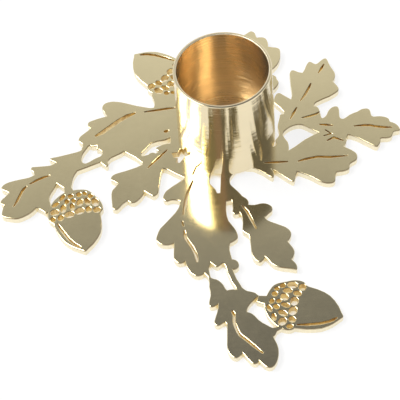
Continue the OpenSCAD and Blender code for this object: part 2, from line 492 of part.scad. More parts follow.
// An uneven oval, turned by tilt
module pit(c, length, width, tilt, seed) {
    polygon([for (i = [0:pit_points - 1])
        let (
            a = i * 360 / pit_points,
            r = 1 + pit_wave_share * sin(2 * a + seed * 77),
            x = length / 2 * r * cos(a),
            y = width / 2 * r * sin(a)
        )
        c + [x * cos(tilt) - y * sin(tilt), x * sin(tilt) + y * cos(tilt)]]);
}

module acorn_cuts(f) {
    band(f, crescent_shares, crescent_w, slot_end_share);
    for (i = [0:len(pit_shares) - 1]) {
        row = pit_shares[i];
        pit(at(f, row), row[2] * acorn_half, row[3] * acorn_half, f[2] + row[4], i);
    }
}

// One piece of the sheet
module sheet() linear_extrude(plate_t) children();

module leaf_plan() {
    sheet() circle(d = hub_d);
    sheet() blade(front, front_shares);
    sheet() blade(front_right, front_right_shares);
    sheet() blade(left, left_shares);
    sheet() blade(left_front, left_front_shares);
    sheet() blade(right, right_shares);
    sheet() blade(back_right, back_right_shares);
    sheet() blade(back, back_shares);
    sheet() blade(outer_right, outer_right_shares);
    sheet() blade(near, near_shares);
    sheet() blade(far_left, far_left_shares);
    sheet() blade(left, back_web_shares);
    sheet() blade(front, bud_shares);
    sheet() band(front, twig_shares, twig_w, 1);
    for (f = [left_acorn, near_acorn, back_acorn]) sheet() blade(f, acorn_shares);
}

module leaf_cuts() {
    veins(front, front_vein_shares, front_vein_w);
    veins(front, front_fine_vein_shares, vein_w);
    veins(front_right, front_right_vein_shares, vein_w);
    veins(left, left_vein_shares, left_vein_w);
    veins(left, left_fine_vein_shares, vein_w);
    veins(left_front, left_front_vein_shares, vein_w);
    veins(right, right_vein_shares, vein_w);
    veins(back_right, back_right_vein_shares, vein_w);
    veins(back, back_vein_shares, vein_w);
    veins(outer_right, outer_right_vein_shares, vein_w);
    veins(near, near_vein_shares, vein_w);
    veins(far_left, far_left_vein_shares, vein_w);
    blade(left_front, cup_side_gap_shares);
    blade(left, left_gap_shares);
    blade(left, left_bridge_gap_shares);
    blade(right, right_gap_shares);
    pit(at(left, left_eye_shares), eye_len, eye_w, left_turn_deg, 0);
    for (f = [left_acorn, near_acorn, back_acorn]) acorn_cuts(f);
}

// The rivet's side from its lower face to its upper one, which its hole shares
rivet_side = [
    [rivet_head_d / 2, 0], [rivet_d / 2, rivet_head_h], [rivet_d / 2, seat_z - rivet_head_h],
    [rivet_head_d / 2, seat_z]
];
module rivet_hole() {
    rotate_extrude() polygon(concat(
        [[0, -overrun], [rivet_head_d / 2, -overrun]], rivet_side,
        [[rivet_head_d / 2, seat_z + overrun], [0, seat_z + overrun]]));
}

module oak_leaf_plate() {
    color([0.78, 0.72, 0.52]) difference() {
        union() leaf_plan();
        translate([0, 0, -overrun]) linear_extrude(plate_t + 2 * overrun) leaf_cuts();
        rivet_hole();
    }
}

module cup_tube() {
    bore_r = cup_bore_d / 2;
    rim_z = plate_t + cup_h;
    color([0.85, 0.74, 0.42]) rotate_extrude() polygon([
        [floor_r, plate_t], [cup_r + foot_flare, plate_t], [cup_r, rim_z - rim_chamfer],
        [cup_r - rim_chamfer, rim_z], [bore_r + rim_chamfer, rim_z], [bore_r, rim_z - rim_chamfer],
        [bore_r, seat_z], [floor_r, seat_z]
    ]);
}

module cup_floor() {
    color([0.72, 0.56, 0.28]) difference() {
        translate([0, 0, plate_t]) cylinder(h = floor_t, r = floor_r);
        rivet_hole();
    }
}

module fixing_rivet() {
    color([0.80, 0.70, 0.45]) rotate_extrude() polygon(concat([[0, 0]], rivet_side, [[0, seat_z]]));
}

oak_leaf_plate();
cup_tube();
cup_floor();
fixing_rivet();
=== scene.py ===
import math

import bmesh
import bpy
from bpy.props import FloatProperty, FloatVectorProperty, IntProperty, PointerProperty
from mathutils import Matrix, Vector
from mathutils.kdtree import KDTree


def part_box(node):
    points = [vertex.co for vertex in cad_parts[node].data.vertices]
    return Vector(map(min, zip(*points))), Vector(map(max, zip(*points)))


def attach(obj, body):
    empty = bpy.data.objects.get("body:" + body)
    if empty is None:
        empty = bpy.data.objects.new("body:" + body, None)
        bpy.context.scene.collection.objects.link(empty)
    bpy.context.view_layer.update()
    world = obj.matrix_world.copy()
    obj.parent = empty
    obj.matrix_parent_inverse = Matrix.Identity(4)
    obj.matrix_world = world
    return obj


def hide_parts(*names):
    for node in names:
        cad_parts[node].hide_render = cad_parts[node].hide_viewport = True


bl_info = {
    "name": "Oak leaf candle holder",
    "version": (1, 0, 0),
    "blender": (4, 5, 0),
    "location": "3D View > Sidebar > Candle holder",
    "description": "Finishes a brass candle holder cut as oak leaves and sets its studio",
    "category": "Object",
}

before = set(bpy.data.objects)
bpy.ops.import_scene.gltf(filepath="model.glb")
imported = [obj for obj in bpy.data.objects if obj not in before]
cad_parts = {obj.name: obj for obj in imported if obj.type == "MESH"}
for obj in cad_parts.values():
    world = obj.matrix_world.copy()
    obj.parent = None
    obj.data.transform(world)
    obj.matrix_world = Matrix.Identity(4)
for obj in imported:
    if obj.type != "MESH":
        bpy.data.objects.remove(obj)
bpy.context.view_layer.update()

SHEET_LOW, SHEET_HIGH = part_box("oak_leaf_plate")
TUBE_LOW, TUBE_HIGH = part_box("cup_tube")
DISC_LOW, DISC_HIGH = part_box("cup_floor")
RIVET_LOW, RIVET_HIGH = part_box("fixing_rivet")

MERGE_DISTANCE = 1e-7
CAD_MERGE_DISTANCE = 2e-7
LEVEL_TOLERANCE = 1e-6
WALL_BEND = math.radians(35.0)
LEVEL_BEND = math.radians(5.0)
CUP_BEND = math.radians(60.0)
FLOOR_DROP = 0.00002
HOLE_SKY = 0.11
OPEN_SKY = 0.24
WHITE = (1.0, 1.0, 1.0, 1.0)


# Shader nodes

class Value:
    """A socket or number whose operators add Math nodes."""

    def __init__(self, kit, socket):
        self.kit = kit
        self.socket = socket

    def math(self, operation, *others):
        inputs = dict(enumerate((self,) + others))
        node = self.kit.node("ShaderNodeMath", {"operation": operation}, inputs)
        return Value(self.kit, node.outputs[0])

    def __add__(self, other):
        return self.math("ADD", other)

    def __radd__(self, other):
        return self + other

    def __sub__(self, other):
        return self.math("SUBTRACT", other)

    def __rsub__(self, other):
        return self * -1.0 + other

    def __mul__(self, other):
        return self.math("MULTIPLY", other)

    def __rmul__(self, other):
        return self * other

    def __truediv__(self, other):
        return self.math("DIVIDE", other)

    def smooth_step(self, low, high):
        """0 below low, 1 above high, and smooth between them."""
        node = self.kit.node(
            "ShaderNodeMapRange", {"interpolation_type": "SMOOTHSTEP", "clamp": True},
            {"Value": self, "From Min": low, "From Max": high})
        return Value(self.kit, node.outputs[0])


class ShaderKit:
    """Adds nodes to one tree."""

    def __init__(self, tree):
        self.tree = tree
        tree.nodes.clear()

    def node(self, kind, settings=None, inputs=None):
        node = self.tree.nodes.new(kind)
        for key, setting in (settings or {}).items():
            if key == "stops":
                ramp = node.color_ramp
                while len(ramp.elements) < len(setting):
                    ramp.elements.new(1.0)
                for element, (place, colour) in zip(ramp.elements, setting):
                    element.position = place
                    element.color = colour
            else:
                setattr(node, key, setting)
        for key, given in (inputs or {}).items():
            socket = node.inputs[key]
            if isinstance(given, Value):
                given = given.socket
            if isinstance(given, bpy.types.NodeSocket):
                self.tree.links.new(given, socket)
            else:
                socket.default_value = given
        return node

    def value(self, socket):
        return Value(self, socket)

    def place(self):
        """The point on the object, in metres."""
        return self.node("ShaderNodeTexCoord").outputs["Object"]

    def mapped(self, vector, scale, turn=(0.0, 0.0, 0.0)):
        return self.node(
            "ShaderNodeMapping", None,
            {"Vector": vector, "Scale": scale, "Rotation": turn}).outputs["Vector"]

    def noise(self, vector, scale, detail=2.0, rough=0.5, bend=0.0):
        node = self.node(
            "ShaderNodeTexNoise", None,
            {"Vector": vector, "Scale": scale, "Detail": detail, "Roughness": rough, "Distortion": bend})
        return self.value(node.outputs["Fac"])

    def mix(self, factor, first, second):
        node = self.node("ShaderNodeMix", {"data_type": "RGBA"}, {"Factor": factor})
        for index, given in ((6, first), (7, second)):
            if isinstance(given, bpy.types.NodeSocket):
                self.tree.links.new(given, node.inputs[index])
            else:
                node.inputs[index].default_value = given
        return node.outputs[2]

    def tilted(self, slope):
        """The surface's normal, leaning up by a slope."""
        lean = self.node("ShaderNodeCombineXYZ", None, {"Z": slope}).outputs[0]
        normal = self.node("ShaderNodeNewGeometry").outputs["Normal"]
        total = self.node("ShaderNodeVectorMath", {"operation": "ADD"}, {0: normal, 1: lean}).outputs[0]
        return self.node("ShaderNodeVectorMath", {"operation": "NORMALIZE"}, {0: total}).outputs[0]

    def facing(self, azimuth):
        """How far the surface faces a level direction, from -1 to 1."""
        normal = self.node("ShaderNodeNewGeometry").outputs["Normal"]
        way = (math.cos(math.radians(azimuth)), math.sin(math.radians(azimuth)), 0.0)
        return self.value(self.node(
            "ShaderNodeVectorMath", {"operation": "DOT_PRODUCT"}, {0: normal, 1: way}).outputs["Value"])

    def bump(self, height, distance, strength=1.0, normal=None):
        inputs = {"Height": height, "Distance": distance, "Strength": strength}
        if normal is not None:
            inputs["Normal"] = normal
        return self.node("ShaderNodeBump", None, inputs).outputs["Normal"]

    def metal(self, colour, roughness, normal=None, metallic=1.0):
        inputs = {"Base Color": colour, "Metallic": metallic, "Roughness": roughness}
        if normal is not None:
            inputs["Normal"] = normal
        shader = self.node("ShaderNodeBsdfPrincipled", None, inputs)
        self.node("ShaderNodeOutputMaterial", None, {"Surface": shader.outputs[0]})


def new_material(name):
    material = bpy.data.materials.new(name)
    material.use_nodes = True
    return material, ShaderKit(material.node_tree)


def tone(colour, factor):
    """A lighter or darker tone of a colour, with its alpha."""
    return tuple(min(1.0, part * factor) for part in colour) + (1.0,)


# Finishes

def polished_sheet(settings):
    """The leaves' faces: polished, with faint hairlines and a slight waviness from the polishing."""
    material, kit = new_material("polished_sheet")
    place = kit.place()
    cloud = kit.noise(place, 90.0, 3.0, 0.6)
    fine = kit.noise(place, 900.0, 2.0, 0.5)
    hairs = kit.noise(kit.mapped(place, (220.0, 5200.0, 220.0), (0.0, 0.0, 0.35)), 1.0, 2.0, 0.6)
    cross = kit.noise(kit.mapped(place, (4600.0, 180.0, 180.0), (0.0, 0.0, 0.9)), 1.0, 2.0, 0.6)
    colour = kit.mix((cloud * 0.7 + fine * 0.3).smooth_step(0.3, 0.7),
                     tone(settings.colour, 0.97), tone(settings.colour, 1.03))
    roughness = (cloud - 0.5) * 0.10 + (hairs - 0.5) * 0.08 + (fine - 0.5) * 0.05 + settings.roughness
    waves = kit.noise(place, 55.0, 1.0, 0.4)
    normal = kit.bump(waves, settings.wave_height, 0.6)
    normal = kit.bump(hairs + cross, settings.hair_depth, 0.35, normal)
    kit.metal(colour, roughness, normal)
    return material


def cut_edge(settings):
    """The cut walls: upright lines from the cutting, a little duller than the faces, with a painted dark
    reflection along the top of the walls that face one way.
    """
    material, kit = new_material("cut_edge")
    place = kit.place()
    lines = kit.noise(kit.mapped(place, (2600.0, 2600.0, 160.0)), 1.0, 3.0, 0.6)
    cloud = kit.noise(place, 240.0, 2.0, 0.5)
    colour = kit.mix((lines * 0.6 + cloud * 0.4).smooth_step(0.3, 0.7),
                     tone(settings.edge_colour, 0.93), tone(settings.edge_colour, 1.05))
    height = kit.value(kit.node("ShaderNodeSeparateXYZ", None, {"Vector": place}).outputs["Z"])
    # Painted reflection: a dark band along the top of the walls that face one azimuth, standing in for the
    # dark room mirrored in their rounded edges.
    top = height.smooth_step(SHEET_HIGH.z - settings.line_width, SHEET_HIGH.z - settings.line_width * 0.6)
    colour = kit.mix(top * kit.facing(settings.painted_reflection_azimuth).smooth_step(0.0, 0.7) * (cloud * 1.2 + 0.3),
                     colour, tone(settings.painted_reflection_colour, 1.0))
    roughness = (lines - 0.5) * 0.16 + (cloud - 0.5) * 0.08 + settings.edge_roughness
    normal = kit.bump(lines, settings.line_depth, 0.5)
    kit.metal(colour, roughness, normal)
    return material


def narrow_wall_painted_shade(settings):
    """The walls of the pits and fine slots: painted shade, a deep gold with patches of brown, darker than
    the outer walls as little light reaches into narrow cuts.
    """
    material, kit = new_material("narrow_wall_painted_shade")
    place = kit.place()
    patches = kit.noise(place, 750.0, 2.0, 0.5)
    lines = kit.noise(kit.mapped(place, (2600.0, 2600.0, 300.0)), 1.0, 2.0, 0.6)
    # Painted shade: the deep gold and the brown patches stand in for the dim, brass-tinted light inside
    # narrow cuts.
    colour = kit.mix((patches * 0.7 + lines * 0.3).smooth_step(0.34, 0.62),
                     tone(settings.painted_shade_brown, 1.0), tone(settings.painted_shade_gold, 1.0))
    roughness = (lines - 0.5) * 0.16 + (patches - 0.5) * 0.10 + settings.edge_roughness
    kit.metal(colour, roughness, kit.bump(lines, settings.line_depth, 0.5))
    return material


def turned_slope(kit, place, spread):
    """The up and down slope of the fine rings that turning leaves round an upright wall."""
    fine = kit.noise(kit.mapped(place, (25.0, 25.0, 14000.0)), 1.0, 1.0, 0.5)
    coarse = kit.noise(kit.mapped(place, (30.0, 30.0, 3200.0)), 1.0, 2.0, 0.6)
    return ((fine - 0.5) * 1.6 + (coarse - 0.5) * 0.15) * spread, coarse


def cup_outside(settings):
    """The cup's outer wall: polished over fine turned rings, which draw out what it mirrors upright."""
    material, kit = new_material("cup_outside")
    place = kit.place()
    slope, rings = turned_slope(kit, place, settings.outer_spread)
    cloud = kit.noise(place, 120.0, 2.0, 0.5)
    colour = kit.mix((cloud * 0.7 + rings * 0.3).smooth_step(0.3, 0.7),
                     tone(settings.colour, 0.97), tone(settings.colour, 1.02))
    roughness = (rings - 0.5) * 0.04 + (cloud - 0.5) * 0.04 + settings.roughness
    kit.metal(colour, roughness, kit.tilted(slope))
    return material


def cup_inside(settings):
    """The cup's bore: a deeper gold with stronger turned rings and a slight haze from wax."""
    material, kit = new_material("cup_inside")
    place = kit.place()
    slope, rings = turned_slope(kit, place, settings.bore_spread)
    cloud = kit.noise(place, 160.0, 3.0, 0.6)
    colour = kit.mix((cloud * 0.6 + rings * 0.4).smooth_step(0.25, 0.7),
                     tone(settings.bore_colour, 0.93), tone(settings.bore_colour, 1.04))
    roughness = (rings - 0.5) * 0.08 + (cloud - 0.5) * 0.06 + settings.bore_roughness
    kit.metal(colour, roughness, kit.tilted(slope), settings.bore_metallic)
    return material


def turned_rim(settings):
    """The rim's face: cut across, finely bumped, and duller than the walls."""
    material, kit = new_material("turned_rim")
    place = kit.place()
    cloud = kit.noise(place, 500.0, 3.0, 0.6)
    sparkle = kit.noise(place, 3000.0, 1.0, 0.5)
    colour = kit.mix((cloud * 0.6 + sparkle * 0.4).smooth_step(0.3, 0.7),
                     tone(settings.rim_colour, 0.94), tone(settings.rim_colour, 1.04))
    roughness = (cloud - 0.5) * 0.12 + (sparkle - 0.5) * 0.08 + settings.rim_roughness
    kit.metal(colour, roughness, kit.bump(cloud + sparkle * 0.4, settings.ring_depth, 0.4))
    return material


def turned_disc(settings):
    """The floor's face: rings round the middle from turning, dulled by use."""
    material, kit = new_material("turned_disc")
    place = kit.place()
    parts = kit.node("ShaderNodeSeparateXYZ", None, {"Vector": place})
    x, y = kit.value(parts.outputs["X"]), kit.value(parts.outputs["Y"])
    radius = (x * x + y * y).math("SQRT")
    cloud = kit.noise(place, 200.0, 3.0, 0.6)
    rings = (radius * (2.0 * math.pi / settings.ring_pitch) + cloud * 4.0).math("SINE")
    colour = kit.mix((cloud * 0.8 + rings * 0.1).smooth_step(0.3, 0.7),
                     tone(settings.floor_colour, 0.85), tone(settings.floor_colour, 1.06))
    roughness = (cloud - 0.5) * 0.2 + rings * 0.03 + settings.floor_roughness
    normal = kit.bump(rings, settings.ring_depth, 0.6)
    kit.metal(colour, roughness, normal)
    return material


def filed_rivet(settings):
    """The rivet's heads: filed flush, with short straight file marks."""
    material, kit = new_material("filed_rivet")
    place = kit.place()
    marks = kit.noise(kit.mapped(place, (500.0, 6000.0, 500.0), (0.0, 0.0, 0.6)), 1.0, 3.0, 0.7)
    cloud = kit.noise(place, 400.0, 2.0, 0.5)
    colour = kit.mix((marks * 0.5 + cloud * 0.5).smooth_step(0.3, 0.7),
                     tone(settings.floor_colour, 0.9), tone(settings.floor_colour, 1.12))
    roughness = (marks - 0.5) * 0.2 + (cloud - 0.5) * 0.1 + settings.floor_roughness
    normal = kit.bump(marks, settings.ring_depth, 0.7)
    kit.metal(colour, roughness, normal)
    return material


# Meshes

def link(name, mesh):
    piece = bpy.data.objects.new(name, mesh)
    bpy.context.scene.collection.objects.link(piece)
    return piece


def top_loops(node, height):
    """The outline and the holes of a flat node at its top face, each as a list of points."""
    work = bmesh.new()
    work.from_mesh(node.data)
    bmesh.ops.remove_doubles(work, verts=work.verts, dist=CAD_MERGE_DISTANCE)
    work.faces.ensure_lookup_table()
    caps = {face for face in work.faces
            if all(abs(vert.co.z - height) < LEVEL_TOLERANCE for vert in face.verts)}
    following = {}
    for face in caps:
        for loop in face.loops:
            if sum(1 for other in loop.edge.link_faces if other in caps) == 1:
                following.setdefault(loop.vert, []).append(loop.link_loop_next.vert)
    loops = []
    while following:
        start = next(iter(following))
        points, at = [], start
        while at in following:
            points.append((at.co.x, at.co.y))
            ahead = following[at].pop()
            if not following[at]:
                del following[at]
            at = ahead
        loops.append(points)
    work.free()
    return loops


def is_narrow(points, width):
    """Whether a loop's area is small for its length."""
    area = length = 0.0
    for (x, y), (ahead_x, ahead_y) in zip(points, points[1:] + points[:1]):
        area += (x * ahead_y - ahead_x * y) / 2.0
        length += math.hypot(ahead_x - x, ahead_y - y)
    return abs(area) < width * length


def narrow_finder(loops, width, step):
    """A function that tells whether the loop nearest to a point is narrow."""
    marks = []
    for points in loops:
        narrow = is_narrow(points, width)
        for (x, y), (ahead_x, ahead_y) in zip(points, points[1:] + points[:1]):
            steps = 1 + int(math.hypot(ahead_x - x, ahead_y - y) / step)
            for share in (i / steps for i in range(steps)):
                marks.append((x + (ahead_x - x) * share, y + (ahead_y - y) * share, narrow))
    tree = KDTree(len(marks))
    for index, (x, y, narrow) in enumerate(marks):
        tree.insert((x, y, 0.0), index)
    tree.balance()
    return lambda place: marks[tree.find((place.x, place.y, 0.0))[1]][2]


def mark_sharp(mesh, bend, level_bend):
    """Smooth walls: an upright edge stays sharp above one bend, and a level edge above another."""
    work = bmesh.new()
    work.from_mesh(mesh)
    for face in work.faces:
        face.smooth = True
    for edge in work.edges:
        if len(edge.link_faces) != 2:
            continue
        way = edge.verts[1].co - edge.verts[0].co
        limit = level_bend if abs(way.z) < 0.1 * way.length else bend
        edge.smooth = edge.calc_face_angle(0.0) < limit
    work.to_mesh(mesh)
    work.free()


# Settings

class SheetSettings(bpy.types.PropertyGroup):
    edge_round: FloatProperty(
        name="Edge round", description="Radius of the rounded edges of the cut sheet",
        default=0.00013, min=0.00002, max=0.0003, precision=6, unit="LENGTH")
    colour: FloatVectorProperty(
        name="Face colour", description="Colour of the polished faces",
        default=(0.90, 0.785, 0.49), size=3, subtype="COLOR", min=0.0, max=1.0)
    roughness: FloatProperty(
        name="Face roughness", description="Roughness of the polished faces",
        default=0.13, min=0.0, max=1.0, subtype="FACTOR")
    edge_colour: FloatVectorProperty(
        name="Wall colour", description="Colour of the cut walls",
        default=(0.95, 0.86, 0.63), size=3, subtype="COLOR", min=0.0, max=1.0)
    edge_roughness: FloatProperty(
        name="Wall roughness", description="Roughness of the cut walls",
        default=0.32, min=0.0, max=1.0, subtype="FACTOR")
    wave_height: FloatProperty(
        name="Wave height", description="Height of the waviness that polishing leaves",
        default=0.00002, min=0.0, max=0.001, precision=6, unit="LENGTH")
    hair_depth: FloatProperty(
        name="Hairline depth", description="Depth of the hairlines on the faces",
        default=0.0000015, min=0.0, max=0.0001, precision=7, unit="LENGTH")
    # The dark line below is a painted reflection, not a mark on the brass: it stands in for the dark room
    # mirrored in the walls' rounded top edges.
    line_width: FloatProperty(
        name="Dark line width", description="Height of the dark line at the top of the cut walls",
        default=0.00048, min=0.0, max=0.001, precision=5, unit="LENGTH")
    painted_reflection_colour: FloatVectorProperty(
        name="Dark line colour", description="Colour of the dark line at the top of the cut walls",
        default=(0.34, 0.25, 0.13), size=3, subtype="COLOR", min=0.0, max=1.0)
    painted_reflection_azimuth: FloatProperty(
        name="Dark line's azimuth", description="Direction that the lined walls face, in degrees from +X",
        default=-58.0)
    # The pit colour and the brown below are painted shade for the walls of narrow cuts, drawn darker than
    # the outer walls.
    painted_shade_gold: FloatVectorProperty(
        name="Pit colour", description="Colour of the walls of the pits and fine slots",
        default=(0.90, 0.74, 0.40), size=3, subtype="COLOR", min=0.0, max=1.0)
    painted_shade_brown: FloatVectorProperty(
        name="Painted shade brown", description="Colour of the painted shade patches on those walls",
        default=(0.55, 0.38, 0.17), size=3, subtype="COLOR", min=0.0, max=1.0)
    narrow_width: FloatProperty(
        name="Narrow width", description="Mean half width up to which a cut counts as narrow",
        default=0.0006, min=0.0, max=0.002, precision=5, unit="LENGTH")
    line_depth: FloatProperty(
        name="Cut line depth", description="Depth of the upright lines on the walls",
        default=0.00002, min=0.0, max=0.001, precision=6, unit="LENGTH")


class CupSettings(bpy.types.PropertyGroup):
    bore: FloatProperty(
        name="Bore radius", description="Inner radius of the cup",
        default=0.0112, min=0.008, max=0.02, precision=5, unit="LENGTH")
    rim_round: FloatProperty(
        name="Rim round", description="Radius of the rounding on both edges of the rim",
        default=0.00024, min=0.00005, max=0.00035, precision=5, unit="LENGTH")
    rim_height: FloatProperty(
        name="Rim height", description="Height of the part whose outside counts as the rim's",
        default=0.0005, min=0.0003, max=0.001, precision=5, unit="LENGTH")
    sides: IntProperty(
        name="Sides", description="Steps round the cup", default=192, min=48, max=360)
    colour: FloatVectorProperty(
        name="Outer colour", description="Colour of the outer wall",
        default=(0.83, 0.72, 0.49), size=3, subtype="COLOR", min=0.0, max=1.0)
    roughness: FloatProperty(
        name="Outer roughness", description="Roughness of the outer wall",
        default=0.06, min=0.0, max=1.0, subtype="FACTOR")
    outer_spread: FloatProperty(
        name="Outer ring slope", description="Slope of the turned rings on the outer wall",
        default=0.30, min=0.0, max=3.0)
    bore_colour: FloatVectorProperty(
        name="Bore colour", description="Colour inside the cup",
        default=(0.97, 0.80, 0.54), size=3, subtype="COLOR", min=0.0, max=1.0)
    bore_roughness: FloatProperty(
        name="Bore roughness", description="Roughness inside the cup",
        default=0.15, min=0.0, max=1.0, subtype="FACTOR")
    bore_metallic: FloatProperty(
        name="Bore metallic", description="Part of the bore's face that the haze of wax leaves bare",
        default=0.93, min=0.0, max=1.0, subtype="FACTOR")
    bore_spread: FloatProperty(
        name="Bore ring slope", description="Slope of the turned rings inside the cup",
        default=0.9, min=0.0, max=3.0)
    rim_colour: FloatVectorProperty(
        name="Rim colour", description="Colour of the rim's face",
        default=(0.93, 0.83, 0.61), size=3, subtype="COLOR", min=0.0, max=1.0)
    rim_roughness: FloatProperty(
        name="Rim roughness", description="Roughness of the rim's face",
        default=0.42, min=0.0, max=1.0, subtype="FACTOR")
    ring_pitch: FloatProperty(
        name="Ring pitch", description="Distance between turned rings",
        default=0.0007, min=0.0002, max=0.003, precision=5, unit="LENGTH")
    ring_depth: FloatProperty(
        name="Ring depth", description="Depth of the turned rings",
        default=0.000008, min=0.0, max=0.0005, precision=7, unit="LENGTH")
    floor_colour: FloatVectorProperty(
        name="Floor colour", description="Colour of the cup's floor and of the rivet",
        default=(0.92, 0.72, 0.47), size=3, subtype="COLOR", min=0.0, max=1.0)
    floor_roughness: FloatProperty(
        name="Floor roughness", description="Roughness of the cup's floor and of the rivet",
        default=0.30, min=0.0, max=1.0, subtype="FACTOR")


class StudioSettings(bpy.types.PropertyGroup):
    lens: FloatProperty(
        name="Lens", description="Focal length on a sensor 36 mm wide",
        default=131.675, min=20.0, max=300.0, unit="CAMERA")
    camera_place: FloatVectorProperty(
        name="Camera place", description="Where the camera stands",
        default=(-0.00843, -0.22998, 0.29632), size=3, subtype="TRANSLATION", unit="LENGTH", precision=5)
    camera_pitch: FloatProperty(
        name="Camera pitch", description="Angle that the camera looks down",
        default=0.9496037, subtype="ANGLE")
    camera_roll: FloatProperty(
        name="Camera roll", description="Turn of the camera about its own axis",
        default=-0.0985942, subtype="ANGLE")
    floor_size: FloatProperty(
        name="Floor size", description="Side of the floor", default=3.0, min=0.5, unit="LENGTH")
    floor_glow: FloatProperty(
        name="Floor white", description="Part of the floor's white that shadows leave",
        default=0.82, min=0.0, max=1.0, subtype="FACTOR")
    # The hole colour is painted shade on the floor's glow under narrow cuts, standing in for the dim light
    # that brass walls tint there.
    hole_reach: FloatProperty(
        name="Hole reach", description="How far above the floor a narrow hole's walls still shade it",
        default=0.003, min=0.001, max=0.02, unit="LENGTH")
    hole_colour: FloatVectorProperty(
        name="Hole colour", description="Colour that brass walls give the floor inside a narrow hole",
        default=(0.80, 0.61, 0.25), size=3, subtype="COLOR", min=0.0, max=1.0)
    floor_tone: FloatProperty(
        name="Floor tone", description="Grey of the floor where it lights the object",
        default=0.9, min=0.0, max=1.0, subtype="FACTOR")
    floor_shade: FloatProperty(
        name="Floor shade", description="Part of the floor's white that its shadows take away",
        default=0.22, min=0.0, max=1.0, subtype="FACTOR")
    key_power: FloatProperty(
        name="Key light", description="Radiance of the large light on the left", default=7.0, min=0.0)
    skirt_power: FloatProperty(
        name="Key light's skirt", description="Radiance of the warm edge round the large light",
        default=1.0, min=0.0)
    key_azimuth: FloatProperty(
        name="Key light's azimuth", description="Direction of the large light, in degrees from +X",
        default=174.7)


# Operators

class CANDLE_OT_leaf_sheet(bpy.types.Operator):
    """Redraws the cut sheet with rounded edges and gives its faces and walls their finish"""
    bl_idname = "candle.leaf_sheet"
    bl_label = "Leaf sheet"

    def execute(self, context):
        settings = context.scene.candle_sheet
        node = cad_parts["oak_leaf_plate"]
        thickness = SHEET_HIGH.z - SHEET_LOW.z
        rivet_head = (RIVET_HIGH.x - RIVET_LOW.x) / 2.0
        curve = bpy.data.curves.new("leaf_outline", "CURVE")
        curve.dimensions = "2D"
        curve.fill_mode = "BOTH"
        curve.bevel_depth = settings.edge_round
        curve.bevel_resolution = 1
        curve.offset = -settings.edge_round
        curve.extrude = thickness / 2.0 - settings.edge_round
        loops = top_loops(node, SHEET_HIGH.z)
        if not loops:
            raise RuntimeError("the sheet has no outline")
        for points in loops:
            reach = max(math.hypot(x, y) for x, y in points)
            grow = rivet_head / reach if reach < rivet_head else 1.0
            spline = curve.splines.new("POLY")
            spline.points.add(len(points) - 1)
            for point, (x, y) in zip(spline.points, points):
                point.co = (x * grow, y * grow, 0.0, 1.0)
            spline.use_cyclic_u = True
        outline = link("leaf_outline", curve)
        context.view_layer.update()
        mesh = bpy.data.meshes.new_from_object(
            outline.evaluated_get(context.evaluated_depsgraph_get()))
        bpy.data.objects.remove(outline)
        mesh.transform(Matrix.Translation((0.0, 0.0, SHEET_LOW.z + thickness / 2.0)))
        mesh.materials.clear()
        for material in (polished_sheet(settings), cut_edge(settings), narrow_wall_painted_shade(settings)):
            mesh.materials.append(material)
        work = bmesh.new()
        work.from_mesh(mesh)
        bmesh.ops.remove_doubles(work, verts=work.verts, dist=MERGE_DISTANCE)
        bmesh.ops.recalc_face_normals(work, faces=work.faces)
        narrow = narrow_finder(loops, settings.narrow_width, settings.edge_round)
        # Walls of narrow cuts get the painted-shade material, the other walls the plain cut finish.
        for face in work.faces:
            if abs(face.normal.z) > 0.5:
                face.material_index = 0
            else:
                face.material_index = 2 if narrow(face.calc_center_median()) else 1
        work.to_mesh(mesh)
        work.free()
        mark_sharp(mesh, WALL_BEND, LEVEL_BEND)
        mesh.name = "leaf_sheet"
        sheet = link("leaf_sheet", mesh)
        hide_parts("oak_leaf_plate")
        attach(sheet, "root")
        return {"FINISHED"}


